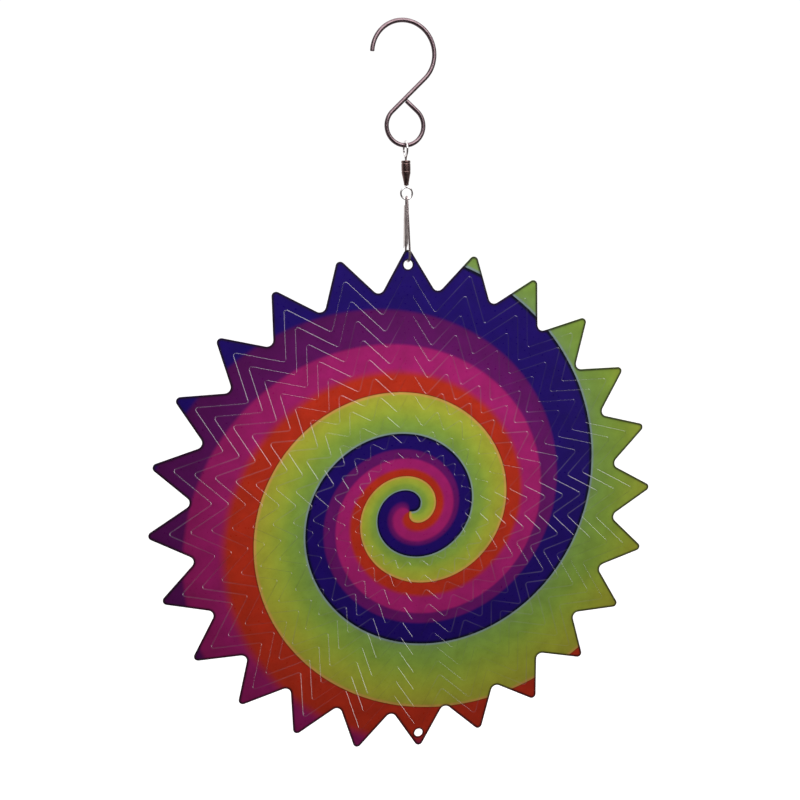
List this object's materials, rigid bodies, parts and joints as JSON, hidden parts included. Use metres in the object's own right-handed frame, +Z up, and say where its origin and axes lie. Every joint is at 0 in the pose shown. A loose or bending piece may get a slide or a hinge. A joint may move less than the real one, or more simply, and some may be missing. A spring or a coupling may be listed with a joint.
{
  "type": "wind spinner",
  "caption": "Hanging wind spinner: a star-toothed printed steel disc cut into concentric rings that twist about a vertical line, turning on a ball-bearing swivel and snap under an S-hook.",
  "frame": {"origin": "the seat: the inside top of the S-hook's upper bend, where it rests on what it hangs from", "axes": "+Z up along the chain and the disc's vertical diameter; +X to the right seen from the printed front; +Y away from the front, square to the disc"},
  "size_m": [0.2998, 0.011, 0.421],
  "materials": {
    "hook_wire": "polished stainless wire",
    "eye_wire": "bright nickel-plated wire",
    "barrel": "turned, dark nickel",
    "bearing_steel": "mirror-polished balls",
    "snap_wire": "bright spring wire",
    "clasp": "folded sheet, satin",
    "printed_disc": "gloss rainbow-spiral print over stainless sheet"
  },
  "bodies": {
    "hook": {"s_hook": "hook_wire"},
    "swivel_eye": {"swivel_upper_eye": "eye_wire"},
    "bearing_balls": {"bearing_ball_1": "bearing_steel", "bearing_ball_2": "bearing_steel", "bearing_ball_3": "bearing_steel", "bearing_ball_4": "bearing_steel", "bearing_ball_5": "bearing_steel", "bearing_ball_6": "bearing_steel"},
    "swivel": {"swivel_barrel": "barrel", "swivel_lower_eye": "eye_wire"},
    "snap": {"snap_frame": "snap_wire", "snap_clasp": "clasp"},
    "gate": {"snap_gate": "snap_wire"},
    "ring_01": {"disc_ring_01": "printed_disc"},
    "ring_02": {"disc_ring_02": "printed_disc"},
    "ring_03": {"disc_ring_03": "printed_disc"},
    "ring_04": {"disc_ring_04": "printed_disc"},
    "ring_05": {"disc_ring_05": "printed_disc"},
    "ring_06": {"disc_ring_06": "printed_disc"},
    "ring_07": {"disc_ring_07": "printed_disc"},
    "ring_08": {"disc_ring_08": "printed_disc"},
    "ring_09": {"disc_ring_09": "printed_disc"},
    "ring_10": {"disc_ring_10": "printed_disc"},
    "centre_star": {"disc_centre_star": "printed_disc"}
  },
  "joints": [
    {"name": "hook_swing", "type": "hinge", "parent": "hook", "child": "swivel_eye", "pos_m": [0, 0, -0.0629], "axis": [1, 0, 0], "range_deg": [-80, 80]},
    {"name": "swivel_spin", "type": "hinge", "parent": "swivel_eye", "child": "swivel", "pos_m": [0, 0, -0.07195], "axis": [0, 0, 1], "continuous": true},
    {"name": "ball_orbit", "type": "hinge", "parent": "swivel_eye", "child": "bearing_balls", "pos_m": [0, 0, -0.07195], "axis": [0, 0, 1], "continuous": true},
    {"name": "snap_swing", "type": "hinge", "parent": "swivel", "child": "snap", "pos_m": [0, 0, -0.0915], "axis": [1, 0, 0], "range_deg": [-70, 70]},
    {"name": "gate_open", "type": "hinge", "parent": "snap", "child": "gate", "pos_m": [0, 0.00457, -0.12009], "axis": [-1, 0, 0], "range_deg": [0, 30], "stiffness_Nm_per_rad": 0.01, "springref_deg": -9.74},
    {"name": "disc_swing", "type": "hinge", "parent": "snap", "child": "ring_01", "pos_m": [0, 0, -0.1252], "axis": [0, 1, 0], "range_deg": [-45, 45]},
    {"name": "ring_02_twist", "type": "hinge", "parent": "ring_01", "child": "ring_02", "pos_m": [0, 0, -0.26885], "axis": [0, 0, 1], "range_deg": [-20, 20]},
    {"name": "ring_03_twist", "type": "hinge", "parent": "ring_02", "child": "ring_03", "pos_m": [0, 0, -0.26885], "axis": [0, 0, 1], "range_deg": [-20, 20]},
    {"name": "ring_04_twist", "type": "hinge", "parent": "ring_03", "child": "ring_04", "pos_m": [0, 0, -0.26885], "axis": [0, 0, 1], "range_deg": [-20, 20]},
    {"name": "ring_05_twist", "type": "hinge", "parent": "ring_04", "child": "ring_05", "pos_m": [0, 0, -0.26885], "axis": [0, 0, 1], "range_deg": [-20, 20]},
    {"name": "ring_06_twist", "type": "hinge", "parent": "ring_05", "child": "ring_06", "pos_m": [0, 0, -0.26885], "axis": [0, 0, 1], "range_deg": [-20, 20]},
    {"name": "ring_07_twist", "type": "hinge", "parent": "ring_06", "child": "ring_07", "pos_m": [0, 0, -0.26885], "axis": [0, 0, 1], "range_deg": [-20, 20]},
    {"name": "ring_08_twist", "type": "hinge", "parent": "ring_07", "child": "ring_08", "pos_m": [0, 0, -0.26885], "axis": [0, 0, 1], "range_deg": [-20, 20]},
    {"name": "ring_09_twist", "type": "hinge", "parent": "ring_08", "child": "ring_09", "pos_m": [0, 0, -0.26885], "axis": [0, 0, 1], "range_deg": [-20, 20]},
    {"name": "ring_10_twist", "type": "hinge", "parent": "ring_09", "child": "ring_10", "pos_m": [0, 0, -0.26885], "axis": [0, 0, 1], "range_deg": [-20, 20]},
    {"name": "centre_star_twist", "type": "hinge", "parent": "ring_10", "child": "centre_star", "pos_m": [0, 0, -0.26885], "axis": [0, 0, 1], "range_deg": [-20, 20]}
  ],
  "couplings": [
    {"joint": "ball_orbit", "follows": "swivel_spin", "ratio": 0.5}
  ]
}
